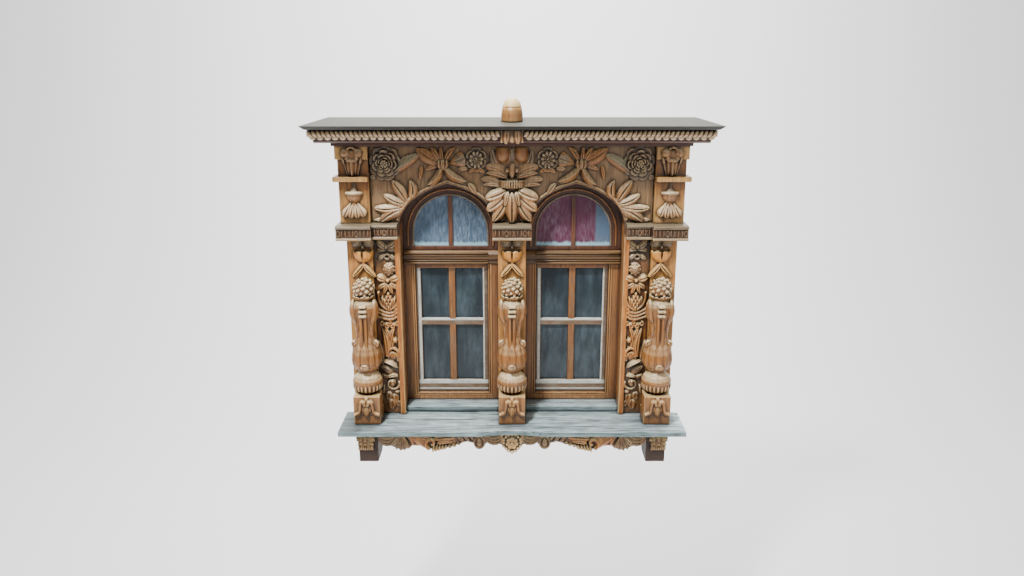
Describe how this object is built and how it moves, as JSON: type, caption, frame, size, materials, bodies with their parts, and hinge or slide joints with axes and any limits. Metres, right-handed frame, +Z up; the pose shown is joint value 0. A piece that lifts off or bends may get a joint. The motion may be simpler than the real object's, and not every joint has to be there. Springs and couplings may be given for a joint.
{
  "type": "window surround",
  "caption": "Carved timber window surround: arched lights between engaged columns, with a flower-carved head board, a beaded cornice under a small roof, and a bracketed sill.",
  "frame": {"origin": "middle of the cornice board's flat back, on the plane of the wall face, 64 mm below the board's top edge", "axes": "+Z up, -Y out of the wall towards the street, +X along the sill to the viewer's right"},
  "size_m": [2.604, 0.64, 2.5017],
  "materials": {
    "carved_oak": "weathered carved wood, orange brown",
    "pale_carving": "sun-bleached carved wood",
    "dark_oak": "shaded dark brown wood",
    "grey_brown_board": "weathered grey-brown board",
    "silvered_board": "silvered bare board",
    "grey_paint": "worn grey-white paint",
    "frame_paint": "worn brown frame finish",
    "roof_board": "weathered grey coated board",
    "dark_glass": "clear glass over a dark room",
    "cool_fan_glass": "blue reflecting glass",
    "warm_fan_glass": "glass over a maroon curtain"
  },
  "bodies": {
    "root": {"sill_board": "silvered_board", "step_board": "silvered_board", "bracket_left": "dark_oak", "bracket_right": "dark_oak", "corner_block_left": "pale_carving", "corner_block_right": "pale_carving", "apron": "pale_carving", "pilaster_left": "carved_oak", "pilaster_centre": "carved_oak", "pilaster_right": "carved_oak", "plinth_left": "carved_oak", "plinth_centre": "carved_oak", "plinth_right": "carved_oak", "column_left": "pale_carving", "column_centre": "pale_carving", "column_right": "pale_carving", "capital_left": "pale_carving", "capital_centre": "pale_carving", "capital_right": "pale_carving", "carved_strip_left": "carved_oak", "carved_strip_right": "carved_oak", "impost_left": "grey_brown_board", "impost_centre": "grey_brown_board", "impost_right": "grey_brown_board", "upper_post_left": "grey_brown_board", "upper_post_right": "grey_brown_board", "tulip_drop_left": "pale_carving", "tulip_drop_right": "pale_carving", "bell_drop_left": "pale_carving", "bell_drop_right": "pale_carving", "spandrel_board": "grey_brown_board", "peony_left": "carved_oak", "peony_right": "carved_oak", "corner_spray_left": "pale_carving", "corner_spray_right": "pale_carving", "lily_left": "pale_carving", "lily_right": "pale_carving", "small_rose_left": "pale_carving", "small_rose_right": "pale_carving", "cartouche": "carved_oak", "cornice_board": "dark_oak", "valance_left": "pale_carving", "valance_right": "pale_carving", "keystone": "pale_carving", "roof_board": "roof_board", "finial": "pale_carving", "jamb_left": "frame_paint", "jamb_right": "frame_paint", "mullion": "frame_paint", "frame_rail_left": "frame_paint", "frame_rail_right": "frame_paint", "transom": "frame_paint", "fan_frame": "frame_paint", "fan_glass_left": "cool_fan_glass", "fan_glass_right": "warm_fan_glass", "sash_left": "grey_paint", "sash_right": "grey_paint", "sash_glass_left": "dark_glass", "sash_glass_right": "dark_glass"}
  },
  "joints": []
}
